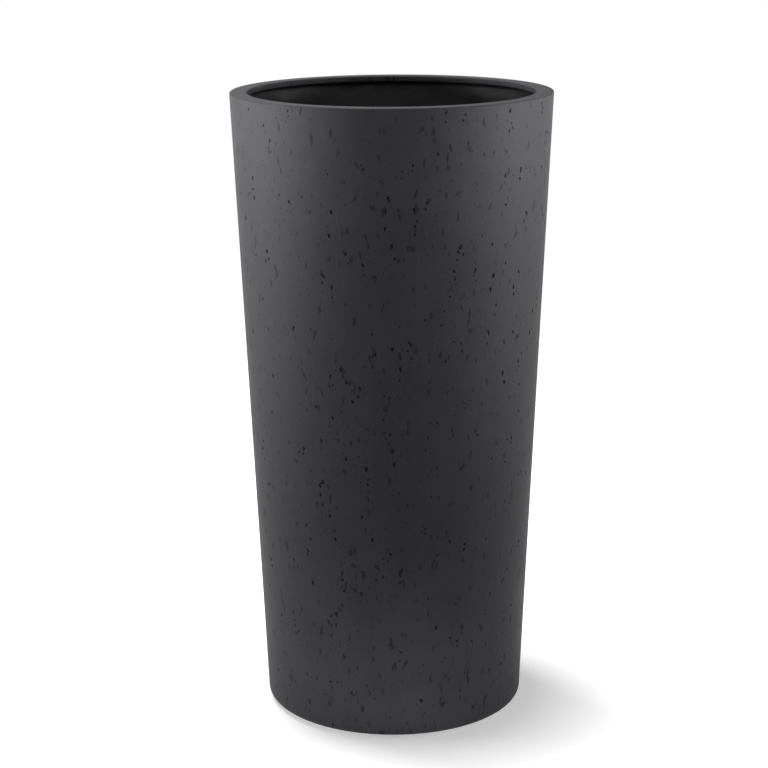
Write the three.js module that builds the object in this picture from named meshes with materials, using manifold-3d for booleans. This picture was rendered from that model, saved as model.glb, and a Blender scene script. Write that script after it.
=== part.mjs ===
// A tall round fibreglass planter: a concrete-look facing over a fibreglass laminate with a turned-in rim,
// a drain plug in its base, rubber feet under it, and a lift-out planting shelf on four cleats inside.
// Millimetres, real size, +Z up. The origin is on the floor at the middle of the base.

import * as THREE from "three";
import { mergeVertices } from "three/addons/utils/BufferGeometryUtils.js";
import Module from "manifold-3d";

const wasm = await Module();
wasm.setup();

// ---- Driving dimensions ----

// Outside of the planter
const height = 800; // floor to the top of the rim
const topRadius = 202.5; // wall line at the rim
const footRadius = 167; // wall line carried down to the floor
const footEdgeRadius = 10; // rounding where the wall meets the underside
const rimWidth = 22; // flat top of the rim, outer edge to inner edge
const rimDepth = 7; // height of the rim's inner face
const rimEdgeRadius = 1.6; // rounding of the rim's outer and inner edges
const facingRawEdge = 0.6; // rounding of the facing's trimmed edge under the rim

// Layers of the wall
const facingThickness = 2; // cement and sand coat
const laminateThickness = 4; // chopped strand mat in polyester
const bondGap = 0.3; // between two faces that are bonded or at rest on each other

// Base
const feetStandProud = 2; // the feet lift the shell this far off the floor
const footRingWidth = 18; // ring under the wall, from the wall line inwards
const footRingSlope = 3; // the step behind the ring runs inwards this far
const baseUnderside = 7; // height of the flat underside inside the ring
const baseThickness = 6; // at the drain
const floorFall = 3; // the floor drops this far from the wall to the drain
const floorFillet = 14; // rounding where the floor meets the wall inside
const rimCove = 7; // rounding under the rim where it meets the wall inside

// Drain and its plug
const drainRadius = 13;
const drainSeatRadius = 22; // shallow recess that takes the plug's flange
const drainSeatDepth = 2;
const plugClearance = 0.4; // around the sealing lips
const plugFlangeClearance = 1; // around the flange in its recess
const plugFlangeThickness = 4;
const plugFlangeEdge = 1.5; // rounding of its upper edge
const plugStemLength = 8;
const plugStemEdge = 1; // rounding of its lower end
const plugLipHeight = 0.8; // the lips stand this far off the stem
const plugLipSpacing = 2.6;
const plugCoreRadius = 7; // the stem is hollow from below
const plugCoreRoof = 2.4; // rubber left over the hollow
const plugGripWidth = 26;
const plugGripHeight = 12;
const plugGripThickness = 5;

// Rubber feet
const footCount = 4;
const footPadRadius = 16; // where it is bonded
const footPadTip = 14.5; // where it meets the floor
const footPadEdge = 1.5;
const footPadInset = 4; // from the foot ring's step

// Planting shelf
const plantingDepth = 300; // rim to the top of the shelf
const shelfRimClearance = 2.5; // around the shelf as it passes the rim
const shelfWallClearance = 3; // least gap from its lower edge to the tapering wall
const shelfPlate = 4; // thickness of its plate
const shelfSkirtDepth = 14; // depth of its turned-down edge
const shelfWall = 3; // thickness of the skirt and ribs
const shelfEdgeRadius = 1.2;
const shelfRibDepth = 9;
const shelfRibCount = 8; // radial ribs
const fingerHoleRadius = 16; // two holes to lift it by
const drainSlotLength = 20;
const drainSlotWidth = 7;
const drainSlotPitch = 36; // least spacing of the slots along a ring
const drainRingPitch = 42; // spacing of the rings of slots
const drainRingInset = 28; // from the shelf's edge to its outermost ring of slots

// Cleats that carry the shelf
const cleatCount = 4;
const cleatWidth = 48;
const cleatHeight = 42;
const cleatReach = 22; // how far it stands out from the wall
const cleatNose = 12; // upright face at its inner end
const cleatFillet = 3;
const cleatToe = 5; // how far its foot stands out from the wall

// Fineness of the rounds
const roundSteps = 64; // around the planter
const smallRoundSteps = 24; // around the plug, a foot and a finger hole
const slotEndSteps = 2; // in a quarter turn of a slot's round end
const filletStep = Math.PI / 7; // most that one facet of a fillet turns

// ---- Worked out from the above ----

const taper = (topRadius - footRadius) / height;
const slant = Math.hypot(1, taper); // along the level, for a depth square to the wall
const laminateFace = facingThickness + bondGap; // depth of the laminate's outer face
const innerFace = laminateFace + laminateThickness; // depth of the inner face
const wallAt = (z, depth) => footRadius + taper * z - depth * slant;
const rimInner = topRadius - rimWidth;
const footRingInner = wallAt(feetStandProud, 0) - footRingWidth;
const footRing = footRingInner - footRingSlope - footPadInset - footPadRadius; // where the feet lie
const floorAtDrain = baseUnderside + baseThickness;
const floorAtWall = floorAtDrain + floorFall;
const drainSeat = floorAtDrain - drainSeatDepth;
const shelfTop = height - plantingDepth;
const shelfUnderside = shelfTop - shelfSkirtDepth;
const shelfRadius = Math.min(
  rimInner - shelfRimClearance,
  wallAt(shelfUnderside, innerFace) - shelfWallClearance,
);
const firstDrainRing = shelfRadius - drainRingInset;
const drainRings = []; // radii of the rings of slots, from the edge inwards
for (let ring = firstDrainRing; ring > drainSlotLength; ring -= drainRingPitch) {
  drainRings.push(ring);
}
// The finger holes lie inside the first ring of slots, and between two radial ribs.
const fingerHoleRing = firstDrainRing - drainRingPitch / 2;
const firstRibAngle = Math.PI / shelfRibCount;
const ringRibs = drainRings.slice(2).map((ring) => ring + drainRingPitch / 2);
const innerRib = ringRibs.at(-1);

// ---- Shapes ----

// Points of a closed outline from its corners [r, z, fillet]. A fillet is an arc tangent to both sides.
function outline(corners) {
  const at = (i) => {
    const [r, z] = corners.at(i % corners.length);
    return new THREE.Vector2(r, z);
  };
  const points = [];
  corners.forEach(([, , fillet = 0], i) => {
    const corner = at(i);
    if (!fillet) {
      points.push(corner);
      return;
    }
    const before = at(i - 1).sub(corner).normalize();
    const after = at(i + 1).sub(corner).normalize();
    const half = Math.acos(before.dot(after)) / 2;
    const inward = before.clone().add(after).normalize();
    const centre = inward.multiplyScalar(fillet / Math.sin(half)).add(corner);
    const start = before.clone().multiplyScalar(fillet / Math.tan(half)).add(corner);
    const turn = Math.sign(after.cross(before)) * (Math.PI - 2 * half);
    const steps = Math.ceil(Math.abs(turn) / filletStep);
    for (let k = 0; k <= steps; k++) {
      points.push(start.clone().rotateAround(centre, (turn * k) / steps));
    }
  });
  return points;
}

// A solid turned about the Z axis. Its corners go round anticlockwise, seen with r to the right and z up,
// and close on themselves unless they start and end on the axis.
function turned(corners, steps) {
  const profile = outline(corners);
  if (profile[0].x > 0) profile.push(profile[0].clone());
  return new THREE.LatheGeometry(profile, steps).rotateX(Math.PI / 2);
}

// Points round a circle in X and Y, with its middle on the X axis.
function circle(radius, steps, x = 0) {
  return Array.from({ length: steps }, (_, i) => {
    const angle = (i / steps) * 2 * Math.PI;
    return new THREE.Vector2(x + radius * Math.cos(angle), radius * Math.sin(angle));
  });
}

// An outline in r and z, given a width square to the radius at angle 0.
function crosswise(corners, width) {
  const settings = { depth: width, bevelEnabled: false };
  const slab = new THREE.ExtrudeGeometry(new THREE.Shape(outline(corners)), settings);
  return slab.rotateX(Math.PI / 2).translate(0, width / 2, 0);
}

// Outline of a drain slot at a radius and an angle. It lies square to the radius and its ends are round.
function drainSlot(radius, angle) {
  const end = (drainSlotLength - drainSlotWidth) / 2;
  const slot = new THREE.Path()
    .absarc(radius, end, drainSlotWidth / 2, 0, Math.PI)
    .absarc(radius, -end, drainSlotWidth / 2, Math.PI, 2 * Math.PI);
  const middle = new THREE.Vector2();
  return new THREE.Path(slot.getPoints(slotEndSteps).map((point) => point.rotateAround(middle, angle)));
}

const solid = (geometry) => {
  const bare = geometry.index ? geometry.toNonIndexed() : geometry.clone();
  bare.deleteAttribute("normal");
  bare.deleteAttribute("uv");
  const merged = mergeVertices(bare, 1e-4);
  const vertProperties = merged.attributes.position.array;
  return new wasm.Manifold(
    new wasm.Mesh({ numProp: 3, vertProperties, triVerts: new Uint32Array(merged.index.array) }),
  );
};

const geometryOf = (made) => {
  const { vertProperties, triVerts } = made.getMesh();
  const geometry = new THREE.BufferGeometry();
  geometry.setAttribute("position", new THREE.BufferAttribute(vertProperties, 3));
  geometry.setIndex(new THREE.BufferAttribute(triVerts, 1));
  geometry.computeVertexNormals();
  return geometry;
};

// ---- Materials ----

const concreteFacing = new THREE.MeshStandardMaterial({ color: 0x4a4a4d, roughness: 0.62, metalness: 0 });
const blackLaminate = new THREE.MeshStandardMaterial({ color: 0x17171a, roughness: 0.32, metalness: 0 });
const blackRubber = new THREE.MeshStandardMaterial({ color: 0x1c1c1c, roughness: 0.8, metalness: 0 });
const darkPolypropylene = new THREE.MeshStandardMaterial({ color: 0x26272a, roughness: 0.5, metalness: 0 });

// ---- Shell: two layers of one moulding ----

// The pitted coat that shows: wall, foot edge, rim top and the rim's inner face.
function facing() {
  const bottom = feetStandProud;
  const back = bottom + facingThickness;
  const rimBack = height - facingThickness;
  return turned(
    [
      [footRingInner, bottom],
      [wallAt(bottom, 0), bottom, footEdgeRadius],
      [wallAt(height, 0), height, rimEdgeRadius],
      [rimInner, height, rimEdgeRadius],
      [rimInner, height - rimDepth, facingRawEdge],
      [rimInner + facingThickness, height - rimDepth],
      [rimInner + facingThickness, rimBack],
      [wallAt(rimBack, facingThickness), rimBack],
      [wallAt(back, facingThickness), back, footEdgeRadius - facingThickness],
      [footRingInner, back],
    ],
    roundSteps,
  );
}

// The structural layer: wall, rim flange, and a base that falls to the drain and its recessed seat.
function laminate() {
  const bottom = feetStandProud + laminateFace;
  const top = height - laminateFace;
  const rimUnderside = height - rimDepth;
  return turned(
    [
      [drainRadius, baseUnderside],
      [footRingInner - footRingSlope, baseUnderside],
      [footRingInner, bottom],
      [wallAt(bottom, laminateFace), bottom, footEdgeRadius - laminateFace],
      [wallAt(top, laminateFace), top],
      [rimInner + laminateFace, top],
      [rimInner + laminateFace, rimUnderside],
      [wallAt(rimUnderside, innerFace), rimUnderside, rimCove],
      [wallAt(floorAtWall, innerFace), floorAtWall, floorFillet],
      [drainSeatRadius, floorAtDrain],
      [drainSeatRadius, drainSeat],
      [drainRadius, drainSeat],
    ],
    roundSteps,
  );
}

// ---- Drain plug ----

// A rubber bung pushed in from inside: hollow stem with two sealing lips, flange, and an upright grip.
function drainPlug() {
  const flangeBottom = drainSeat + bondGap;
  const flangeTop = flangeBottom + plugFlangeThickness;
  const tip = flangeBottom - plugStemLength;
  const lip = drainRadius - plugClearance;
  const stem = lip - plugLipHeight;
  const upperLip = flangeBottom - plugLipHeight;
  const lipCorners = [upperLip - plugLipSpacing, upperLip].flatMap((z) => [
    [stem, z - plugLipHeight],
    [lip, z],
    [stem, z + plugLipHeight],
  ]);
  const body = turned(
    [
      [0, flangeTop - plugCoreRoof],
      [plugCoreRadius, flangeTop - plugCoreRoof],
      [plugCoreRadius, tip],
      [stem, tip, plugStemEdge],
      ...lipCorners,
      [drainSeatRadius - plugFlangeClearance, flangeBottom],
      [drainSeatRadius - plugFlangeClearance, flangeTop, plugFlangeEdge],
      [0, flangeTop],
    ],
    smallRoundSteps,
  );
  const half = plugGripWidth / 2;
  const grip = crosswise(
    [
      [-half, flangeTop - plugCoreRoof / 2],
      [half, flangeTop - plugCoreRoof / 2],
      [half, flangeTop + plugGripHeight, plugGripHeight / 2],
      [-half, flangeTop + plugGripHeight, plugGripHeight / 2],
    ],
    plugGripThickness,
  );
  return geometryOf(solid(body).add(solid(grip)));
}

// ---- Rubber feet ----

// A tapered button bonded into the recess under the base, standing a little lower than the shell.
function footPad() {
  const bonded = baseUnderside - bondGap;
  return turned(
    [
      [0, 0],
      [footPadTip, 0, footPadEdge],
      [footPadRadius, bonded],
      [0, bonded],
    ],
    smallRoundSteps,
  );
}

// ---- Planting shelf ----

// Outline of the plate inside the skirt, with its drain slots and two finger holes cut out.
// The slots keep between the ribs and off the finger holes.
function shelfPlateShape() {
  const shape = new THREE.Shape(circle(shelfRadius - shelfWall / 2, roundSteps));
  for (const side of [1, -1]) {
    shape.holes.push(new THREE.Path(circle(fingerHoleRadius, smallRoundSteps, side * fingerHoleRing)));
  }
  const keepOff = fingerHoleRadius + drainSlotLength / 2 + shelfWall;
  for (const ring of drainRings) {
    const bays = ring > innerRib ? shelfRibCount : 1;
    const count = bays * Math.floor((2 * Math.PI * ring) / bays / drainSlotPitch);
    for (let i = 0; i < count; i++) {
      const angle = firstRibAngle + ((i + 0.5) / count) * 2 * Math.PI;
      const [x, y] = [ring * Math.cos(angle), ring * Math.sin(angle)];
      const fromHole = Math.hypot(Math.abs(x) - fingerHoleRing, y);
      if (fromHole > keepOff) shape.holes.push(drainSlot(ring, angle));
    }
  }
  return shape;
}

// A moulded disc: perforated plate, turned-down skirt, and round and radial ribs under it.
function plantingShelf() {
  const plateBottom = shelfTop - shelfPlate;
  const inPlate = plateBottom + shelfPlate / 2;
  const ribBottom = plateBottom - shelfRibDepth;
  const skirtInner = shelfRadius - shelfWall;
  const ring = (inner, outer, bottom, top, edgeRadius) =>
    solid(
      turned(
        [
          [inner, bottom],
          [outer, bottom],
          [outer, top, edgeRadius],
          [inner, top],
        ],
        roundSteps,
      ),
    );
  const plate = new THREE.ExtrudeGeometry(shelfPlateShape(), { depth: shelfPlate, bevelEnabled: false });
  let shelf = solid(plate.translate(0, 0, plateBottom));
  shelf = shelf.add(ring(skirtInner, shelfRadius, shelfUnderside, shelfTop, shelfEdgeRadius));
  for (const radius of ringRibs) {
    shelf = shelf.add(ring(radius - shelfWall / 2, radius + shelfWall / 2, ribBottom, inPlate));
  }
  const ribLength = skirtInner + shelfWall / 2 - innerRib;
  for (let i = 0; i < shelfRibCount; i++) {
    const rib = new THREE.BoxGeometry(ribLength, shelfWall, inPlate - ribBottom);
    rib.translate(innerRib + ribLength / 2, 0, (inPlate + ribBottom) / 2);
    rib.rotateZ(firstRibAngle + (i / shelfRibCount) * 2 * Math.PI);
    shelf = shelf.add(solid(rib));
  }
  return geometryOf(shelf);
}

// ---- Cleats ----

// A gusset laid up against the wall, cut to the wall's own curve, with a level top under the shelf's edge.
function cleat() {
  const top = shelfUnderside - bondGap;
  const foot = top - cleatHeight;
  const backFace = innerFace + bondGap;
  const wall = turned(
    [
      [0, foot - cleatHeight],
      [wallAt(foot - cleatHeight, backFace), foot - cleatHeight],
      [wallAt(top + cleatHeight, backFace), top + cleatHeight],
      [0, top + cleatHeight],
    ],
    roundSteps,
  );
  const nose = wallAt(top, innerFace) - cleatReach;
  const block = crosswise(
    [
      [nose, top, cleatFillet],
      [nose, top - cleatNose, cleatFillet],
      [wallAt(foot, innerFace) - cleatToe, foot],
      [wallAt(top, 0), foot],
      [wallAt(top, 0), top],
    ],
    cleatWidth,
  );
  return geometryOf(solid(block).intersect(solid(wall)));
}

// ---- Assembly ----

const planter = new THREE.Group();

function place(name, geometry, material, position = [0, 0, 0], turn = 0) {
  const mesh = new THREE.Mesh(geometry, material);
  mesh.name = name;
  mesh.position.set(...position);
  mesh.rotation.z = turn;
  planter.add(mesh);
}

place("facing_shell", facing(), concreteFacing);
place("laminate_shell", laminate(), blackLaminate);
place("drain_plug", drainPlug(), blackRubber);

for (let i = 0; i < footCount; i++) {
  const angle = ((i + 0.5) / footCount) * 2 * Math.PI;
  place(`foot_pad_${i + 1}`, footPad(), blackRubber, [
    footRing * Math.cos(angle),
    footRing * Math.sin(angle),
    0,
  ]);
}

for (let i = 0; i < cleatCount; i++) {
  const turn = (i / cleatCount) * 2 * Math.PI;
  place(`shelf_cleat_${i + 1}`, cleat(), blackLaminate, [0, 0, 0], turn);
}

place("planting_shelf", plantingShelf(), darkPolypropylene);

export default planter;
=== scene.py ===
import math
import random

import bmesh
import bpy
from mathutils import Matrix, Vector


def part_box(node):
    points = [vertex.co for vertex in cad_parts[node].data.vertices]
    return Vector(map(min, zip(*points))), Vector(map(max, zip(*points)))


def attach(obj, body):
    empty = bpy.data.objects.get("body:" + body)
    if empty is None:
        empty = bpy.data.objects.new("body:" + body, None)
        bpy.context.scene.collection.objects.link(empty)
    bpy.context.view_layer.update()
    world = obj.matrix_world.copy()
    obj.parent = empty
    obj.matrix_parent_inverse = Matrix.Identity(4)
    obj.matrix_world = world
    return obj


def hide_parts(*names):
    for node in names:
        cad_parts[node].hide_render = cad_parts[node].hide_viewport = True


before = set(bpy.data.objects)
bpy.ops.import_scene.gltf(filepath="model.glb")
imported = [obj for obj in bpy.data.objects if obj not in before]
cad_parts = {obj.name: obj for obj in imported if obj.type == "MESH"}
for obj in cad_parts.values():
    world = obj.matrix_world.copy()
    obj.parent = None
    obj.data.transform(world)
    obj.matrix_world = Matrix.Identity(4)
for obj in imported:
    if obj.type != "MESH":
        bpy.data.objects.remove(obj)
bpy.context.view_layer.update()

MM = 0.001

# ---- Facing --------------------------------------------------------------------------
# The outer coat of the moulding: charcoal gel filled with cement, 2 mm thick, sprayed into
# the mould ahead of the glass. It covers the foot edge, the tapered wall, the turned-in rim
# and 7 mm of the rim's inner face, where it ends in a raw edge.

foot_gap, height = (corner.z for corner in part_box("facing_shell"))
rim_radius = 202.5 * MM
foot_radius = 167 * MM
rim_width = 22 * MM
rim_depth = 7 * MM
rim_edge = 1.6 * MM
raw_edge = 0.6 * MM
foot_edge = 10 * MM
foot_ring_radius = 149.09 * MM
facing_thickness = 2 * MM


def wall_radius(z, depth=0):
    """Radius of the tapered wall at height z, depth metres below its outer face."""
    lean = (rim_radius - foot_radius) / height
    return foot_radius + lean * z - depth * math.hypot(1, lean)


def pick(kind, test):
    """In edit mode, selects the vertices, edges or faces that pass test, and says how many."""
    bpy.ops.mesh.select_mode(type=kind)
    bpy.ops.mesh.select_all(action="DESELECT")
    mesh = bpy.context.edit_object.data
    edit = bmesh.from_edit_mesh(mesh)
    found = [part for part in {"VERT": edit.verts, "EDGE": edit.edges, "FACE": edit.faces}[kind] if test(part)]
    for part in found:
        part.select_set(True)
    bmesh.update_edit_mesh(mesh)
    return len(found)


def only(piece):
    """Leaves piece alone selected and active, so that an operator acts on nothing else."""
    bpy.ops.object.select_all(action="DESELECT")
    piece.select_set(True)
    bpy.context.view_layer.objects.active = piece
    return piece


def named(name):
    """Names the piece just added, and its mesh."""
    piece = bpy.context.object
    piece.name = piece.data.name = name
    return piece


def corner(radius, z, rounding=0.0, rows=1):
    """A corner of a turned outline: its rounding, and the rows that the edge after it is cut into."""
    return Vector((radius, 0, z)), rounding, rows


def turned(name, outline, steps):
    """A piece of revolution: its outline is drawn by extruding a point, rounded, cut into rows and spun."""
    bpy.ops.object.select_all(action="DESELECT")
    bpy.ops.mesh.primitive_plane_add(size=MM)
    piece = named(name)
    bpy.ops.object.mode_set(mode="EDIT")
    bpy.ops.mesh.select_mode(type="VERT")
    bpy.ops.mesh.select_all(action="SELECT")
    bpy.ops.mesh.merge(type="CENTER")
    places = [place for place, _, _ in outline]
    bpy.ops.transform.translate(value=places[0])
    for here, after in zip(places, places[1:] + places[:1]):
        bpy.ops.mesh.extrude_region_move(TRANSFORM_OT_translate={"value": after - here})
    bpy.ops.mesh.select_all(action="SELECT")
    bpy.ops.mesh.remove_doubles(threshold=1e-7)
    for i, (here, rounding, _) in enumerate(outline):
        if rounding:
            before, after = places[i - 1], places[(i + 1) % len(places)]
            half = (before - here).angle(after - here) / 2
            pick("VERT", lambda v: (v.co - here).length < 1e-7)
            bpy.ops.mesh.bevel(
                affect="VERTICES",
                offset=rounding / math.tan(half),
                segments=max(2, round((180 - math.degrees(2 * half)) / 15)),
            )
    for i, (here, _, rows) in enumerate(outline):
        if rows > 1:
            middle = (here + places[(i + 1) % len(places)]) / 2
            pick(
                "EDGE",
                lambda e: sum((middle - v.co).length for v in e.verts) - e.calc_length() < 1e-6,
            )
            bpy.ops.mesh.subdivide(number_cuts=rows - 1)
    if pick("EDGE", lambda e: all(v.co.x < 1e-7 for v in e.verts)):
        bpy.ops.mesh.delete(type="EDGE")
    bpy.ops.mesh.select_all(action="SELECT")
    bpy.ops.mesh.spin(steps=steps, angle=2 * math.pi, center=(0, 0, 0), axis=(0, 0, 1))
    bpy.ops.mesh.select_all(action="SELECT")
    bpy.ops.mesh.remove_doubles(threshold=1e-6)
    bpy.ops.mesh.normals_make_consistent(inside=False)
    bpy.ops.object.mode_set(mode="OBJECT")
    return piece


def combine(piece, tool, operation):
    """Cuts tool out of piece, or fuses it on, and takes tool away. Cut faces keep tool's material."""
    only(piece)
    change = piece.modifiers.new(tool.name, "BOOLEAN")
    change.object, change.operation = tool, operation
    change.solver, change.material_mode = "MANIFOLD", "TRANSFER"
    bpy.ops.object.modifier_apply(modifier=change.name)
    bpy.data.objects.remove(tool)
    if not any(piece.data.materials):
        piece.data.materials.clear()
    return piece


def joined(pieces):
    """Several copies as one mesh."""
    bpy.ops.object.select_all(action="DESELECT")
    for piece in pieces:
        piece.select_set(True)
    bpy.context.view_layer.objects.active = pieces[0]
    bpy.ops.object.join()
    return bpy.context.object


def copied(piece, place, name):
    """A copy of piece with a mesh of its own, moved there."""
    copy = piece.copy()
    copy.data = piece.data.copy()
    copy.name = copy.data.name = name
    copy.data.transform(place)
    bpy.context.collection.objects.link(copy)
    return copy


facing = turned(
    "facing",
    [
        corner(foot_ring_radius, foot_gap),
        corner(wall_radius(foot_gap), foot_gap, foot_edge, rows=64),
        corner(rim_radius, height, rim_edge, rows=3),
        corner(rim_radius - rim_width, height, rim_edge),
        corner(rim_radius - rim_width, height - rim_depth, raw_edge),
        corner(rim_radius - rim_width + facing_thickness, height - rim_depth),
        corner(rim_radius - rim_width + facing_thickness, height - facing_thickness),
        corner(wall_radius(height - facing_thickness, facing_thickness), height - facing_thickness, rows=16),
        corner(wall_radius(foot_gap + facing_thickness, facing_thickness), foot_gap + facing_thickness, 8 * MM),
        corner(foot_ring_radius, foot_gap + facing_thickness),
    ],
    steps=256,
)

# Air bubbles that rose along the mould and broke open leave irregular pits 1 to 5.5 mm wide,
# mostly in short upright drifts. Each drift below is its bearing round the wall in degrees
# from the front, its height, its widest pit, and how many pits it has, top first.
drifts = [
    (-77, 785, 3.8, 1), (-58, 789, 3.2, 2), (-49, 773, 2.6, 1), (-58, 706, 4.6, 3),
    (-38, 685, 3.5, 1), (-21, 676, 4.6, 1), (-1, 695, 4.3, 2), (-2, 660, 4.1, 1),
    (-22, 648, 3.8, 1), (-16, 628, 3.2, 2), (0, 637, 4.3, 2), (8, 652, 2.6, 1),
    (-25, 600, 4.1, 3), (-10, 614, 3.5, 2), (-7, 531, 3.8, 1), (0, 512, 4.6, 1),
    (-6, 505, 3.2, 2), (-19, 485, 3.8, 1), (-17, 469, 3.5, 1), (-12, 463, 3.8, 2),
    (3, 488, 3.5, 2), (6, 521, 3.5, 2), (38, 632, 3.2, 1), (24, 627, 3.2, 2),
    (39, 594, 5.5, 2), (45, 607, 3.5, 1), (31, 604, 3.2, 3), (50, 575, 4.3, 2),
    (53, 592, 3.5, 1), (41, 556, 3.5, 1), (19, 557, 2.3, 2), (66, 535, 4.1, 1),
    (54, 511, 4.1, 1), (38, 523, 3.2, 2), (56, 477, 3.8, 2), (46, 468, 5.5, 2),
    (-23, 423, 3.5, 1), (-3, 407, 3.8, 1), (0, 384, 5.5, 2), (-18, 371, 3.8, 1),
    (-10, 360, 4.1, 2), (-28, 339, 4.9, 3), (-28, 391, 3.5, 1), (-39, 372, 2.9, 1),
    (-12, 298, 3.2, 1), (-8, 269, 3.8, 1), (-37, 277, 3.2, 1), (-1, 251, 3.5, 2),
    (-4, 220, 3.8, 1), (3, 226, 5.2, 2), (-13, 196, 5.5, 1), (-35, 202, 3.5, 1),
    (-21, 221, 3.8, 3), (-24, 165, 3.8, 2), (-46, 124, 3.2, 1), (-21, 108, 3.5, 1),
    (3, 119, 3.2, 2), (-28, 71, 3.8, 3), (12, 51, 4.1, 1), (37, 29, 4.1, 1),
    (44, 790, 4.3, 3), (64, 793, 2.9, 1), (44, 766, 2.9, 1), (33, 742, 2.9, 1),
    (67, 715, 3.5, 1), (44, 678, 3.5, 1), (17, 417, 3.5, 1), (65, 233, 3.8, 2),
    (53, 192, 3.8, 2), (18, 150, 3.8, 1),
]
chance = random.Random(31)


def strew(count, bearings, heights, widths, numbers):
    """Drifts that fall where they may, between these bearings, heights and widths."""
    for _ in range(count):
        drifts.append((
            chance.uniform(*bearings), chance.uniform(*heights), chance.uniform(*widths), chance.choice(numbers)
        ))


strew(95, (72, 278), (20, 792), (2.7, 5.4), (1, 1, 2, 2, 3))
strew(300, (-180, 180), (16, 794), (2.1, 3.9), (1, 1, 2, 2, 3))
strew(150, (-180, 180), (14, 795), (1.2, 2), (1, 1, 2))

# Bubbles are round below and often drawn out to a point above. The finest need few faces.
wide_bubble = 2 * MM
wide_bubbles, fine_bubbles = [], []
for seed in range(9):
    bpy.ops.object.select_all(action="DESELECT")
    if seed < 6:
        bpy.ops.mesh.primitive_uv_sphere_add(segments=8, ring_count=6, radius=0.5)
    else:
        bpy.ops.mesh.primitive_ico_sphere_add(subdivisions=1, radius=0.5)
    (wide_bubbles if seed < 6 else fine_bubbles).append(named("bubble"))
    bpy.ops.object.mode_set(mode="EDIT")
    bpy.ops.mesh.select_all(action="SELECT")
    bpy.ops.transform.vertex_random(offset=0.15, normal=1, seed=seed)
    pick("VERT", lambda v: v.co.y > 0.1)
    bpy.ops.transform.resize(value=((0.55, 0.8, 1)[seed % 3], 1, 1))
    bpy.ops.object.mode_set(mode="OBJECT")


def wall_place(bearing, z):
    """A place on the wall's outer face, and the frame there: round the wall, up it, and out of it."""
    lean = (rim_radius - foot_radius) / height
    out = Vector((math.sin(bearing), -math.cos(bearing), -lean)).normalized()
    round_wall = Vector((math.cos(bearing), math.sin(bearing), 0))
    radius = wall_radius(z)
    place = Vector((radius * math.sin(bearing), -radius * math.cos(bearing), z))
    return place, Matrix((round_wall, out.cross(round_wall), out)).transposed()


def bubble_at(place, axes, width, tall):
    """A bubble to cut out there. Some lie deep, so that the wall closes over their edges."""
    deep = min(0.7 * width, 1.2 * MM)
    turn = Matrix.Rotation(chance.choice((0, math.pi)) + chance.uniform(-0.6, 0.6), 3, "Z")
    size = Matrix.Diagonal((width, tall, 2 * deep)) @ turn
    sunk = place - axes.col[2] * deep * chance.uniform(-0.25, 0.25)
    shape = chance.choice(wide_bubbles if width > wide_bubble else fine_bubbles)
    return copied(shape, Matrix.Translation(sunk) @ (axes @ size).to_4x4(), "bubble")


# A wide pit is several bubbles run together. Those that overlap are cut out one layer at a time.
layers, taken = ([], [], []), []
for bearing, z, widest, count in drifts:
    bearing, z = math.radians(bearing), z * MM
    width = widest * MM
    for _ in range(count):
        tall = width * chance.uniform(0.8, 1.5)
        place, axes = wall_place(bearing, z)
        if foot_gap + foot_edge < z < height - 3.5 * MM and all(
            (place - other).length > (tall + reach) * 0.75 for other, reach in taken
        ):
            taken.append((place, tall))
            layers[0].append(bubble_at(place, axes, width, tall))
            for layer in layers[1 : chance.choice((1, 2, 2, 3)) if width > wide_bubble else 1]:
                shift = Vector((chance.uniform(-0.5, 0.5) * width, chance.choice((-1, 1)) * 0.5 * tall, 0))
                less = chance.uniform(0.45, 0.75)
                layer.append(bubble_at(place + axes @ shift, axes, less * width, less * tall))
        bearing += chance.uniform(-1.2, 1.2) * width / rim_radius
        z -= tall * chance.uniform(1.5, 3)
        width *= chance.uniform(0.55, 0.95)

# The rim's top lay face down in the mould, so it has only a few fine ones.
for i in range(26):
    bearing = math.radians(360 / 26 * i + chance.uniform(-6, 6))
    out_there = Vector((math.sin(bearing), -math.cos(bearing), 0))
    place = out_there * (rim_radius - chance.uniform(0.2, 0.8) * rim_width) + Vector((0, 0, height))
    axes = Matrix((Vector((0, 0, 1)).cross(out_there), -out_there, Vector((0, 0, 1)))).transposed()
    width = chance.uniform(1, 1.9) * MM
    layers[0].append(bubble_at(place, axes, width, width * chance.uniform(0.9, 1.4)))
for bubble in wide_bubbles + fine_bubbles:
    bpy.data.objects.remove(bubble)


def colour(code):
    """An sRGB hex colour as the linear colour that a shader takes."""
    shares = [int(code[i : i + 2], 16) / 255 for i in (1, 3, 5)]
    return (*(s / 12.92 if s <= 0.04045 else ((s + 0.055) / 1.055) ** 2.4 for s in shares), 1)


def finish(name):
    """A new material's node tree, its shader and its own Object coordinates."""
    material = bpy.data.materials.new(name)
    material.use_nodes = True
    tree = material.node_tree
    coords = tree.nodes.new("ShaderNodeTexCoord").outputs["Object"]
    return material, tree, tree.nodes["Principled BSDF"], coords


def add_node(tree, kind, sockets, **settings):
    """Adds a node with its settings; each of its sockets gets a value, or a link from another node's output."""
    node = tree.nodes.new(kind)
    for name, value in settings.items():
        setattr(node, name, value)
    for name, value in sockets.items():
        if isinstance(value, bpy.types.NodeSocket):
            tree.links.new(value, node.inputs[name])
        else:
            node.inputs[name].default_value = value
    return node


def set_shader(tree, shader, sockets):
    """Sets or links the shader's sockets."""
    for name, value in sockets.items():
        if isinstance(value, bpy.types.NodeSocket):
            tree.links.new(value, shader.inputs[name])
        else:
            shader.inputs[name].default_value = value


def per(size_mm):
    """A texture's Scale for a pattern that repeats about every size_mm."""
    return 1 / (size_mm * MM)


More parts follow.
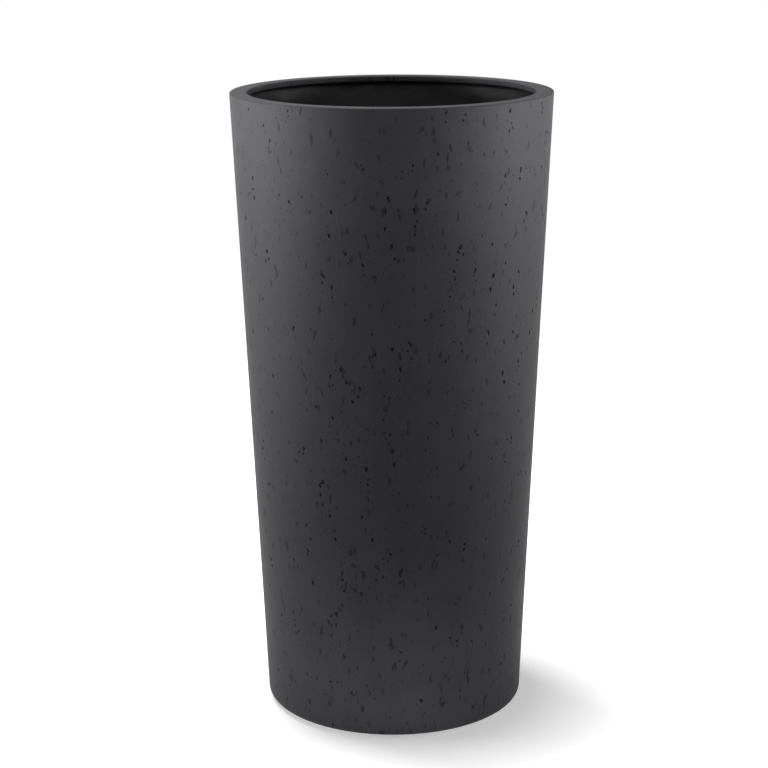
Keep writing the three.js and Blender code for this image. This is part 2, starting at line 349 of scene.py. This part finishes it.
# Cement-filled gel coat, rubbed down and waxed: satin, charcoal, cloudy where the filler
# settled unevenly, with faint dark flecks over bubbles that never broke open, a fine sanded
# grain, and pores too small to model, dented by a bump and coloured near black as painted shade.
charcoal_gelcoat, tree, shader, coords = finish("waxed_charcoal_gelcoat")
clouds = add_node(tree, "ShaderNodeTexNoise", {"Vector": coords, "Scale": per(60), "Detail": 3.0})
tone = add_node(
    tree, "ShaderNodeMapRange",
    {"Value": clouds.outputs["Fac"], "From Min": 0.3, "From Max": 0.7, "To Min": 0.0, "To Max": 1.0},
)
base = add_node(
    tree, "ShaderNodeMix",
    {0: tone.outputs["Result"], 6: colour("#2f2f31"), 7: colour("#37373a")},
    data_type="RGBA",
)
upright = add_node(tree, "ShaderNodeMapping", {"Vector": coords, "Scale": (1, 1, 0.5)})
flecks = add_node(
    tree, "ShaderNodeTexNoise", {"Vector": upright.outputs["Vector"], "Scale": per(8), "Detail": 1.0}
)
fleck = add_node(
    tree, "ShaderNodeMapRange",
    {"Value": flecks.outputs["Fac"], "From Min": 0.65, "From Max": 0.72, "To Min": 0.0, "To Max": 0.8},
)
flecked = add_node(
    tree, "ShaderNodeMix",
    {0: fleck.outputs["Result"], 6: base.outputs[2], 7: colour("#171718")},
    data_type="RGBA",
)
pore_cells = add_node(
    tree, "ShaderNodeTexVoronoi", {"Vector": upright.outputs["Vector"], "Scale": per(6)}
)
pore = add_node(
    tree, "ShaderNodeMapRange",
    {"Value": pore_cells.outputs["Distance"], "From Min": 0.07, "From Max": 0.14, "To Min": 1.0, "To Max": 0.0},
)
# Painted shade: the tiny pores are coloured near black, as if shaded inside.
pores_with_painted_shade = add_node(
    tree, "ShaderNodeMix",
    {0: pore.outputs["Result"], 6: flecked.outputs[2], 7: colour("#141415")},
    data_type="RGBA",
)
grain = add_node(tree, "ShaderNodeTexNoise", {"Vector": coords, "Scale": per(1.6), "Detail": 2.0})
sheen = add_node(
    tree, "ShaderNodeMapRange",
    {"Value": clouds.outputs["Fac"], "From Min": 0.3, "From Max": 0.7, "To Min": 0.58, "To Max": 0.66},
)
grain_bump = add_node(
    tree, "ShaderNodeBump", {"Height": grain.outputs["Fac"], "Strength": 0.35, "Distance": 0.1 * MM}
)
pore_bump = add_node(
    tree, "ShaderNodeBump",
    {"Height": pore.outputs["Result"], "Distance": 0.4 * MM, "Normal": grain_bump.outputs["Normal"]},
    invert=True,
)
set_shader(tree, shader, {
    "Base Color": pores_with_painted_shade.outputs[2],
    "Roughness": sheen.outputs["Result"],
    "Specular IOR Level": 0.1,
    "IOR": 1.5,
    "Normal": pore_bump.outputs["Normal"],
})

# Inside an open bubble the cement paste was never rubbed or waxed: dull, with sanding dust and wax left in some,
# which makes those paler. Its near-black colour is partly the paste's own, mostly painted shade as in a deep pit.
pit_paste_painted_shade, tree, shader, coords = finish("pit_paste_and_painted_shade")
paste = add_node(tree, "ShaderNodeTexNoise", {"Vector": coords, "Scale": per(9), "Detail": 4.0})
dust = add_node(
    tree, "ShaderNodeMapRange",
    {"Value": paste.outputs["Fac"], "From Min": 0.4, "From Max": 0.62, "To Min": 0.0, "To Max": 1.0},
)
paste_and_shade_colour = add_node(
    tree, "ShaderNodeMix",
    {0: dust.outputs["Result"], 6: colour("#0e0e0f"), 7: colour("#262628")},
    data_type="RGBA",
)
set_shader(tree, shader, {"Base Color": paste_and_shade_colour.outputs[2], "Roughness": 0.95, "Specular IOR Level": 0.2})

facing.data.materials.append(charcoal_gelcoat)
for layer in layers:
    pits = joined(layer)
    # The pits' faces take the paste's colour with its painted shade.
    pits.data.materials.append(pit_paste_painted_shade)
    combine(facing, pits, "DIFFERENCE")
only(facing)
bpy.ops.object.shade_smooth_by_angle(angle=math.radians(30))
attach(facing, "shell")
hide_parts("facing_shell")

# ---- Laminate ------------------------------------------------------------------------
# The moulding's strength: 4 mm of glass mat and black polyester resin, rolled by hand on the
# back of the facing, up under the rim and over the base. Its free inner face keeps the lumps
# of the mat under a glossy flow of resin.

laminate_thickness = 4 * MM
bond = 0.3 * MM
laminate_back = facing_thickness + bond
inner_face = laminate_back + laminate_thickness
drain_radius = 13 * MM
drain_seat_radius = 22 * MM
base_underside = 7 * MM
base_top = 13 * MM
drain_seat = 11 * MM
flange_radius = rim_radius - rim_width + facing_thickness + bond
flange_top = height - facing_thickness - bond
ring_step = 3 * MM

laminate = turned(
    "laminate",
    [
        corner(drain_radius, base_underside),
        corner(foot_ring_radius - ring_step, base_underside),
        corner(foot_ring_radius, foot_gap + laminate_back),
        corner(wall_radius(foot_gap + laminate_back, laminate_back), foot_gap + laminate_back, 7.7 * MM),
        corner(wall_radius(flange_top, laminate_back), flange_top),
        corner(flange_radius, flange_top),
        corner(flange_radius, height - rim_depth, rows=3),
        corner(wall_radius(height - rim_depth, inner_face), height - rim_depth, 7 * MM, rows=100),
        corner(wall_radius(16 * MM, inner_face), 16 * MM, 14 * MM, rows=24),
        corner(drain_seat_radius, base_top),
        corner(drain_seat_radius, drain_seat),
        corner(drain_radius, drain_seat),
    ],
    steps=256,
)

# The lumps of the mat stand up to a millimetre proud; they fade out at the rim's edge and at
# the drain, where the moulder rubs the face flat.
lumps = laminate.vertex_groups.new(name="lumps")
for v in laminate.data.vertices:
    radius, z = math.hypot(v.co.x, v.co.y), v.co.z
    on_wall = abs(radius - wall_radius(z, inner_face)) < 0.1 * MM or radius < wall_radius(z, inner_face + MM)
    if on_wall and z > base_top - 0.1 * MM and radius < flange_radius + 40 * MM:
        near_edge = min((height - rim_depth - z) / (6 * MM), (radius - drain_seat_radius) / (20 * MM), 1)
        lumps.add([v.index], max(0, near_edge), "REPLACE")
mat_lumps = bpy.data.textures.new("mat_lumps", "CLOUDS")
mat_lumps.noise_scale = 16 * MM
mat_lumps.noise_depth = 2
swell = laminate.modifiers.new("lumps", "DISPLACE")
swell.texture, swell.texture_coords = mat_lumps, "LOCAL"
swell.vertex_group, swell.strength, swell.mid_level = lumps.name, 1.6 * MM, 0.4
only(laminate)
bpy.ops.object.modifier_apply(modifier=swell.name)
bpy.ops.object.shade_smooth_by_angle(angle=math.radians(35))

# Black pigmented polyester over chopped glass: glossy, with bundles of strands showing
# through as short ridges.
black_laminate, tree, shader, coords = finish("black_polyester_laminate")
blots = add_node(tree, "ShaderNodeTexNoise", {"Vector": coords, "Scale": per(30), "Detail": 3.0})
resin = add_node(
    tree, "ShaderNodeMix",
    {0: blots.outputs["Fac"], 6: colour("#0e0e0f"), 7: colour("#19191b")},
    data_type="RGBA",
)
gloss = add_node(
    tree, "ShaderNodeMapRange",
    {"Value": blots.outputs["Fac"], "From Min": 0.35, "From Max": 0.65, "To Min": 0.4, "To Max": 0.58},
)
strands_across = add_node(tree, "ShaderNodeMapping", {"Vector": coords, "Scale": (0.12, 0.12, 1)})
strands_up = add_node(tree, "ShaderNodeMapping", {"Vector": coords, "Scale": (1, 1, 0.12)})
across = add_node(
    tree, "ShaderNodeTexNoise", {"Vector": strands_across.outputs["Vector"], "Scale": per(2.2), "Detail": 2.0}
)
up_wall = add_node(
    tree, "ShaderNodeTexNoise", {"Vector": strands_up.outputs["Vector"], "Scale": per(2.2), "Detail": 2.0}
)
strands = add_node(
    tree, "ShaderNodeMix", {0: blots.outputs["Fac"], 2: across.outputs["Fac"], 3: up_wall.outputs["Fac"]}
)
strand_bump = add_node(
    tree, "ShaderNodeBump", {"Height": strands.outputs[0], "Strength": 0.6, "Distance": 0.5 * MM}
)
set_shader(tree, shader, {
    "Base Color": resin.outputs[2],
    "Roughness": gloss.outputs["Result"],
    "Specular IOR Level": 0.25,
    "IOR": 1.55,
    "Normal": strand_bump.outputs["Normal"],
})
laminate.data.materials.append(black_laminate)
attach(laminate, "shell")
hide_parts("laminate_shell")

# ---- Shelf cleats --------------------------------------------------------------------
# Four gussets carry the shelf: blocks of stiff foam glassed over against the inner wall, with a
# level top, and an underside that runs out down the wall. Their skin is the wall's own.

shelf_underside = 486 * MM
cleat_top = shelf_underside - bond
cleat_foot = cleat_top - 42 * MM
cleat_width = 48 * MM
cleat_nose = wall_radius(cleat_top, inner_face) - 22 * MM
nose_height = 12 * MM
toe = 5 * MM
sunk_in_wall = 1 * MM


def block(name, low, high):
    """A cube primitive stretched between two corners."""
    low, high = Vector(low), Vector(high)
    bpy.ops.object.select_all(action="DESELECT")
    bpy.ops.mesh.primitive_cube_add(size=1, location=(low + high) / 2, scale=high - low)
    piece = named(name)
    bpy.ops.object.transform_apply()
    return piece


def round_edges(width, test=lambda e: True, segments=2):
    """In edit mode, rounds the sharp edges that pass test."""
    pick("EDGE", lambda e: e.calc_face_angle(0) > math.radians(30) and test(e))
    bpy.ops.mesh.bevel(affect="EDGES", offset=width, segments=segments)


cleat_back = wall_radius(cleat_top, inner_face - sunk_in_wall)
cleat = block("cleat", (cleat_nose, -cleat_width / 2, cleat_foot), (cleat_back, cleat_width / 2, cleat_top))
bpy.ops.object.mode_set(mode="EDIT")
bpy.ops.mesh.select_all(action="SELECT")
bpy.ops.mesh.bisect(plane_co=(0, 0, cleat_top - nose_height), plane_no=(0, 0, 1))
pick("VERT", lambda v: v.co.z < cleat_foot + MM and v.co.x < cleat_nose + MM)
bpy.ops.transform.translate(value=(wall_radius(cleat_foot, inner_face) - toe - cleat_nose, 0, 0))
round_edges(3 * MM, lambda e: min(v.co.x for v in e.verts) < cleat_back - MM, segments=3)
# The mat is tucked into the corner all round, where it leaves a fillet.
bpy.ops.mesh.select_all(action="SELECT")
bpy.ops.mesh.bisect(plane_co=(cleat_back - 6 * MM, 0, 0), plane_no=(1, 0, 0))
pick("VERT", lambda v: v.co.x > cleat_back - MM and v.co.z < cleat_top - MM)
bpy.ops.transform.resize(value=(1, 1.15, 1), center_override=(cleat_back, 0, cleat_top))
bpy.ops.object.mode_set(mode="OBJECT")
remeshed = cleat.modifiers.new("even_mesh", "REMESH")
remeshed.mode, remeshed.voxel_size = "VOXEL", 1.6 * MM
bpy.ops.object.modifier_apply(modifier=remeshed.name)
wall_space = turned(
    "wall_space",
    [
        corner(0, cleat_foot - 20 * MM),
        corner(wall_radius(cleat_foot - 20 * MM, inner_face - sunk_in_wall), cleat_foot - 20 * MM),
        corner(wall_radius(cleat_top + 20 * MM, inner_face - sunk_in_wall), cleat_top + 20 * MM),
        corner(0, cleat_top + 20 * MM),
    ],
    steps=256,
)
combine(cleat, wall_space, "INTERSECT")
lumps = cleat.vertex_groups.new(name="lumps")
lumps.add([v.index for v in cleat.data.vertices if v.co.z < cleat_top - 0.4 * MM], 1, "REPLACE")
swell = cleat.modifiers.new("lumps", "DISPLACE")
swell.texture, swell.texture_coords = mat_lumps, "LOCAL"
swell.vertex_group, swell.strength, swell.mid_level = lumps.name, 1.2 * MM, 0.5
bpy.ops.object.modifier_apply(modifier=swell.name)
bpy.ops.object.shade_smooth_by_angle(angle=math.radians(40))
cleat.data.materials.append(black_laminate)
for i in range(4):
    piece = copied(cleat, Matrix.Rotation(math.radians(90 * i), 4, "Z"), f"cleat_{i + 1}")
    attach(piece, "shell")
    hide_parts(f"shelf_cleat_{i + 1}")
bpy.data.objects.remove(cleat)

# ---- Drain plug ----------------------------------------------------------------------
# Pressed rubber. The flange lies on the drain's seat, two lips grip the hole, the shank is
# hollow so that it gives, and a ribbed tab takes the fingers.

shank_radius = 11.8 * MM
lip_radius = 12.6 * MM
lip_half = 0.8 * MM
lips = (7.9 * MM, 10.5 * MM)
shank_bottom = 3.3 * MM
shank_hollow = 7 * MM
hollow_top = 12.9 * MM
flange_bottom = drain_seat + bond
plug_flange_top = 15.3 * MM
plug_flange_radius = 21 * MM
ring_width = 3.5 * MM
ring_proud = 0.6 * MM

plug = turned(
    "plug",
    [
        corner(0, hollow_top),
        corner(shank_hollow, hollow_top, 1.5 * MM),
        corner(shank_hollow, shank_bottom, 0.5 * MM),
        corner(shank_radius, shank_bottom, 1 * MM),
        *(
            corner(radius, lip + rise, rounding)
            for lip in lips
            for radius, rise, rounding in (
                (shank_radius, -lip_half, 0), (lip_radius, 0, 0.3 * MM), (shank_radius, lip_half, 0)
            )
        ),
        corner(plug_flange_radius, flange_bottom, 0.5 * MM),
        corner(plug_flange_radius, plug_flange_top, 1.5 * MM),
        corner(plug_flange_radius - ring_width, plug_flange_top, 0.4 * MM),
        corner(plug_flange_radius - ring_width - ring_proud, plug_flange_top - ring_proud, 0.4 * MM),
        corner(0, plug_flange_top - ring_proud),
    ],
    steps=96,
)
tab_half, tab_thick, tab_root, tab_top = 13 * MM, 5 * MM, 14.1 * MM, 27.3 * MM
tab = block("tab", (-tab_half, -tab_thick / 2, tab_root), (tab_half, tab_thick / 2, tab_top))
bpy.ops.object.mode_set(mode="EDIT")
pick("EDGE", lambda e: all(v.co.z > tab_top - MM and abs(v.co.x) > tab_half - MM for v in e.verts))
bpy.ops.mesh.bevel(affect="EDGES", offset=6 * MM, segments=8)
# Its root spreads into the flange.
bpy.ops.mesh.select_all(action="SELECT")
bpy.ops.mesh.bisect(plane_co=(0, 0, tab_root + 2.4 * MM), plane_no=(0, 0, 1))
bpy.ops.mesh.select_all(action="SELECT")
bpy.ops.mesh.bisect(plane_co=(0, 0, tab_root + 1.4 * MM), plane_no=(0, 0, 1))
for level, spread in ((1.4, 1.1), (0, 1.45)):
    pick("VERT", lambda v: abs(v.co.z - tab_root - level * MM) < 0.1 * MM)
    bpy.ops.transform.resize(value=(1 + (spread - 1) / 4, spread, 1))
round_edges(1 * MM, lambda e: max(v.co.z for v in e.verts) > tab_root + 3 * MM, segments=3)
bpy.ops.object.mode_set(mode="OBJECT")
for i in range(3):
    rib_z = tab_root + (4.5 + 2.5 * i) * MM
    rib = block("rib", (-9 * MM, -tab_thick / 2 - 0.6 * MM, rib_z), (9 * MM, tab_thick / 2 + 0.6 * MM, rib_z + MM))
    bpy.ops.object.mode_set(mode="EDIT")
    round_edges(0.4 * MM)
    bpy.ops.object.mode_set(mode="OBJECT")
    combine(tab, rib, "UNION")
combine(plug, tab, "UNION")
bpy.ops.object.shade_smooth_by_angle(angle=math.radians(35))

# Pressed black rubber: matt, with a grey bloom in patches and the fine tooth of the press.
black_rubber, tree, shader, coords = finish("pressed_black_rubber")
bloom = add_node(tree, "ShaderNodeTexNoise", {"Vector": coords, "Scale": per(9), "Detail": 4.0})
rubber_colour = add_node(
    tree, "ShaderNodeMix",
    {0: bloom.outputs["Fac"], 6: colour("#161616"), 7: colour("#262625")},
    data_type="RGBA",
)
rubber_roughness = add_node(
    tree, "ShaderNodeMapRange",
    {"Value": bloom.outputs["Fac"], "From Min": 0.3, "From Max": 0.7, "To Min": 0.6, "To Max": 0.82},
)
tooth = add_node(tree, "ShaderNodeTexNoise", {"Vector": coords, "Scale": per(0.7), "Detail": 2.0})
tooth_bump = add_node(
    tree, "ShaderNodeBump", {"Height": tooth.outputs["Fac"], "Strength": 0.4, "Distance": 0.1 * MM}
)
set_shader(tree, shader, {
    "Base Color": rubber_colour.outputs[2],
    "Roughness": rubber_roughness.outputs["Result"],
    "IOR": 1.52,
    "Normal": tooth_bump.outputs["Normal"],
})
plug.data.materials.append(black_rubber)
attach(plug, "plug")
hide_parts("drain_plug")

# ---- Feet ----------------------------------------------------------------------------
# Four tapered rubber buttons glued up into the recess under the base. They hold the planter
# 2 mm off the floor. Each has the dimple that lets it grip.

foot_ring = 126.09 * MM
foot_tip_radius = 14.5 * MM
foot_root_radius = 16 * MM
dimple_radius = 5 * MM
dimple_depth = 0.9 * MM

foot = turned(
    "foot",
    [
        corner(0, dimple_depth),
        corner(dimple_radius - MM, dimple_depth, 0.5 * MM),
        corner(dimple_radius, 0, 0.4 * MM),
        corner(foot_tip_radius, 0, 1.5 * MM),
        corner(foot_root_radius, base_underside - bond, 0.3 * MM),
        corner(0, base_underside - bond),
    ],
    steps=64,
)
bpy.ops.object.shade_smooth_by_angle(angle=math.radians(35))
foot.data.materials.append(black_rubber)
for i in range(4):
    turn = Matrix.Rotation(math.radians(90 * i + 45), 4, "Z")
    piece = copied(foot, turn @ Matrix.Translation((foot_ring, 0, 0)), f"foot_{i + 1}")
    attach(piece, "shell")
    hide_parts(f"foot_pad_{i + 1}")
bpy.data.objects.remove(foot)

# ---- Planting shelf ------------------------------------------------------------------
# One injection moulding in dark polypropylene: a plate with slots that let water through, a
# turned-down skirt, and round and radial ribs under it. Two holes take the fingers.

shelf_top = 500 * MM
shelf_radius = 178 * MM
plate_thickness = 4 * MM
shelf_wall = 3 * MM
rib_depth = 9 * MM
rib_taper = 0.4 * MM
ring_ribs = (87 * MM, 45 * MM)
slot_length, slot_width = 20 * MM, 7 * MM
slot_rings = ((150, 24), (108, 16), (66, 8), (24, 4))
finger_ring, finger_radius = 129 * MM, 16 * MM
first_rib = math.radians(22.5)
plate_bottom = shelf_top - plate_thickness
rib_bottom = plate_bottom - rib_depth

underside = []
for ring in ring_ribs:
    underside += [
        corner(ring + shelf_wall / 2, plate_bottom, 1 * MM),
        corner(ring + shelf_wall / 2 - rib_taper, rib_bottom, 0.5 * MM),
        corner(ring - shelf_wall / 2 + rib_taper, rib_bottom, 0.5 * MM),
        corner(ring - shelf_wall / 2, plate_bottom, 1 * MM),
    ]
shelf = turned(
    "shelf",
    [
        corner(0, shelf_top),
        corner(shelf_radius, shelf_top, 1.2 * MM),
        corner(shelf_radius, shelf_underside, 0.6 * MM),
        corner(shelf_radius - shelf_wall, shelf_underside, 0.6 * MM),
        corner(shelf_radius - shelf_wall, plate_bottom, 1 * MM),
        *underside,
        # The gate where the melt came in is broken off short.
        corner(3 * MM, plate_bottom, 0.5 * MM),
        corner(2.5 * MM, plate_bottom - 1.2 * MM, 0.3 * MM),
        corner(0, plate_bottom - 1.2 * MM),
    ],
    steps=192,
)

rib = block(
    "rib",
    (ring_ribs[1], -shelf_wall / 2, rib_bottom),
    (shelf_radius - shelf_wall / 2, shelf_wall / 2, plate_bottom + plate_thickness / 2),
)
bpy.ops.object.mode_set(mode="EDIT")
pick("FACE", lambda f: f.normal.z < -0.9)
bpy.ops.transform.resize(value=(1, 1 - 2 * rib_taper / shelf_wall, 1))
round_edges(0.5 * MM, lambda e: max(v.co.z for v in e.verts) < rib_bottom + MM)
bpy.ops.object.mode_set(mode="OBJECT")
ribs = [copied(rib, Matrix.Rotation(first_rib + math.radians(45 * i), 4, "Z"), "rib") for i in range(8)]
bpy.data.objects.remove(rib)
combine(shelf, joined(ribs), "UNION")


def flare(by):
    """In edit mode, opens a cutter's top, so that the hole it cuts has an eased upper edge."""
    bpy.ops.mesh.select_all(action="SELECT")
    bpy.ops.mesh.bisect(plane_co=(0, 0, shelf_top - by), plane_no=(0, 0, 1))
    pick("VERT", lambda v: v.co.z > shelf_top)
    width, depth = (max(abs(v.co[i]) for v in bpy.context.object.data.vertices) for i in (0, 1))
    bpy.ops.transform.resize(value=(1 + 2 * by / width, 1 + 2 * by / depth, 1), center_override=(0, 0, 0))


slot = block(
    "slot",
    (-slot_width / 2, -slot_length / 2, plate_bottom - 2 * MM),
    (slot_width / 2, slot_length / 2, shelf_top + 0.7 * MM),
)
bpy.ops.object.mode_set(mode="EDIT")
pick("EDGE", lambda e: abs(e.verts[0].co.z - e.verts[1].co.z) > MM)
bpy.ops.mesh.bevel(affect="EDGES", offset=slot_width / 2 - 0.02 * MM, segments=6)
flare(0.7 * MM)
bpy.ops.object.mode_set(mode="OBJECT")
holes = []
for ring, count in slot_rings:
    for i in range(count):
        angle = first_rib + (i + 0.5) / count * math.tau
        x, y = ring * MM * math.cos(angle), ring * MM * math.sin(angle)
        if math.hypot(abs(x) - finger_ring, y) > finger_radius + slot_length / 2 + shelf_wall:
            place = Matrix.Rotation(angle, 4, "Z") @ Matrix.Translation((ring * MM, 0, 0))
            holes.append(copied(slot, place, "slot"))
bpy.data.objects.remove(slot)
bpy.ops.object.select_all(action="DESELECT")
bpy.ops.mesh.primitive_cylinder_add(
    vertices=64,
    radius=finger_radius,
    depth=plate_thickness + 4 * MM,
    location=(0, 0, shelf_top - plate_thickness / 2),
)
finger_hole = named("finger_hole")
bpy.ops.object.transform_apply()
bpy.ops.object.mode_set(mode="EDIT")
flare(1.2 * MM)
bpy.ops.object.mode_set(mode="OBJECT")
for side in (1, -1):
    holes.append(copied(finger_hole, Matrix.Translation((side * finger_ring, 0, 0)), "hole"))
bpy.data.objects.remove(finger_hole)
combine(shelf, joined(holes), "DIFFERENCE")
bpy.ops.object.shade_smooth_by_angle(angle=math.radians(35))

# Injection-moulded polypropylene: dark grey, waxy, with the dull tooth of a spark-eroded mould
# and faint flow clouds.
polypropylene, tree, shader, coords = finish("moulded_dark_polypropylene")
flow = add_node(tree, "ShaderNodeTexNoise", {"Vector": coords, "Scale": per(45), "Detail": 2.0})
plastic_colour = add_node(
    tree, "ShaderNodeMix",
    {0: flow.outputs["Fac"], 6: colour("#242528"), 7: colour("#2b2c2f")},
    data_type="RGBA",
)
plastic_roughness = add_node(
    tree, "ShaderNodeMapRange",
    {"Value": flow.outputs["Fac"], "From Min": 0.3, "From Max": 0.7, "To Min": 0.42, "To Max": 0.54},
)
mould_tooth = add_node(tree, "ShaderNodeTexNoise", {"Vector": coords, "Scale": per(1.2), "Detail": 2.0})
mould_bump = add_node(
    tree, "ShaderNodeBump", {"Height": mould_tooth.outputs["Fac"], "Strength": 0.3, "Distance": 0.1 * MM}
)
set_shader(tree, shader, {
    "Base Color": plastic_colour.outputs[2],
    "Roughness": plastic_roughness.outputs["Result"],
    "IOR": 1.49,
    "Normal": mould_bump.outputs["Normal"],
})
shelf.data.materials.append(polypropylene)
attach(shelf, "shelf")
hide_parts("planting_shelf")

# ---- Floor and backdrop --------------------------------------------------------------
# A plain white sweep of matt paper. It glows to the eye alone, and less within 0.34 m of the foot: a painted
# shade round the foot, under which the lamps' shadow of the planter shows.


def to_the_eye(tree):
    """1 for a ray that shows the background, straight or in a reflection, and 0 for one that it lights."""
    ray = tree.nodes.new("ShaderNodeLightPath")
    mirrored = add_node(
        tree, "ShaderNodeMath", {0: ray.outputs["Is Camera Ray"], 1: ray.outputs["Is Glossy Ray"]},
        operation="ADD",
    )
    return add_node(
        tree, "ShaderNodeMath", {0: mirrored.outputs[0], 1: ray.outputs["Is Transmission Ray"]},
        operation="ADD", use_clamp=True,
    ).outputs[0]


bpy.ops.object.select_all(action="DESELECT")
bpy.ops.mesh.primitive_plane_add(size=12)
floor = named("floor")
white_paper, tree, shader, coords = finish("matt_white_paper")
set_shader(tree, shader, {"Base Color": colour("#e8e8e8"), "Roughness": 0.9, "Specular IOR Level": 0.0})
far = add_node(tree, "ShaderNodeVectorMath", {0: coords}, operation="LENGTH")
# Painted shade: the glow falls from 1 far out to 0.42 close to the foot.
glow_and_painted_foot_shade = add_node(
    tree, "ShaderNodeMapRange",
    {"Value": far.outputs["Value"], "From Min": 0.18, "From Max": 0.34, "To Min": 0.42, "To Max": 1.0},
)
glow = add_node(tree, "ShaderNodeMath", {0: to_the_eye(tree), 1: glow_and_painted_foot_shade.outputs["Result"]}, operation="MULTIPLY")
set_shader(tree, shader, {"Emission Color": (1, 1, 1, 1), "Emission Strength": glow.outputs[0]})
floor.data.materials.append(white_paper)

world = bpy.data.worlds.new("white_studio")
bpy.context.scene.world = world
world.use_nodes = True
tree = world.node_tree
set_shader(tree, tree.nodes["Background"], {"Color": (1, 1, 1, 1), "Strength": to_the_eye(tree)})

# ---- Lamps ---------------------------------------------------------------------------
# A large softbox high behind on the left lights the rim and lays the shadow to the right. Boxes
# with grids on either side, about as high as the rim, draw the bright edges of the wall. Weak
# ones fill the front, the foot and the inside.


def softbox(name, place, aim, width, tall, watts, spread=180):
    """An area lamp at place, facing aim. A grid on it narrows its spread, in degrees."""
    bpy.ops.object.select_all(action="DESELECT")
    bpy.ops.object.light_add(type="AREA", location=place)
    lamp = named(name)
    lamp.rotation_euler = (Vector(aim) - Vector(place)).to_track_quat("-Z", "Y").to_euler()
    lamp.data.shape, lamp.data.size, lamp.data.size_y = "RECTANGLE", width, tall
    lamp.data.energy, lamp.data.spread = watts, math.radians(spread)
    return lamp


softbox("key_softbox", (-0.8, 0.7, 2.2), (0, 0, 0.2), 1.0, 1.0, 40)
softbox("left_softbox", (-1.15, 0, 0.7), (0, 0, 0.82), 0.6, 0.3, 1.3, 70)
softbox("right_softbox", (1.15, 0, 0.7), (0, 0, 0.82), 0.6, 0.3, 1.1, 70)
softbox("left_front_softbox", (-1.0, -0.45, 0.72), (0, 0, 0.8), 0.4, 0.3, 0.5, 50)
softbox("right_front_softbox", (1.0, -0.45, 0.72), (0, 0, 0.8), 0.4, 0.3, 0.5, 50)
softbox("left_rim_strip", (-1.1, -0.1, 0.85), (0, 0, 0.88), 0.5, 0.15, 0.55, 30)
softbox("right_rim_strip", (1.1, -0.1, 0.85), (0, 0, 0.88), 0.5, 0.15, 0.45, 30)
softbox("low_left_softbox", (-1.2, 0, 0.45), (0, 0, 0.5), 0.6, 0.6, 2.3, 90)
softbox("low_right_softbox", (1.2, 0, 0.45), (0, 0, 0.5), 0.6, 0.6, 1.6, 90)
softbox("front_fill", (0, -2.0, 0.25), (0, 0, 0.22), 1.6, 0.4, 1.05, 50)
softbox("foot_strip", (0, -1.2, 0.06), (0, 0, 0.02), 1.4, 0.1, 0.6, 25)
softbox("inside_fill", (0.5, -1.2, 1.7), (0, 0.18, 0.76), 0.5, 0.5, 0.28, 40)

# ---- Camera --------------------------------------------------------------------------
# It stands 2.5 m in front of the planter, a little above the rim, and looks down 14.3 degrees.
bpy.ops.object.camera_add(location=(13.2 * MM, -2525.1 * MM, 1066.1 * MM))
camera = named("camera")
camera.rotation_euler = (
    Matrix.Rotation(math.radians(0.5615), 3, "Z")
    @ Matrix.Rotation(math.radians(90 - 14.324), 3, "X")
    @ Matrix.Rotation(math.radians(-0.3266), 3, "Z")
).to_euler()
camera.data.sensor_width = 36
camera.data.lens = 94.283
bpy.context.scene.camera = camera
bpy.context.scene.view_settings.view_transform = "Standard"
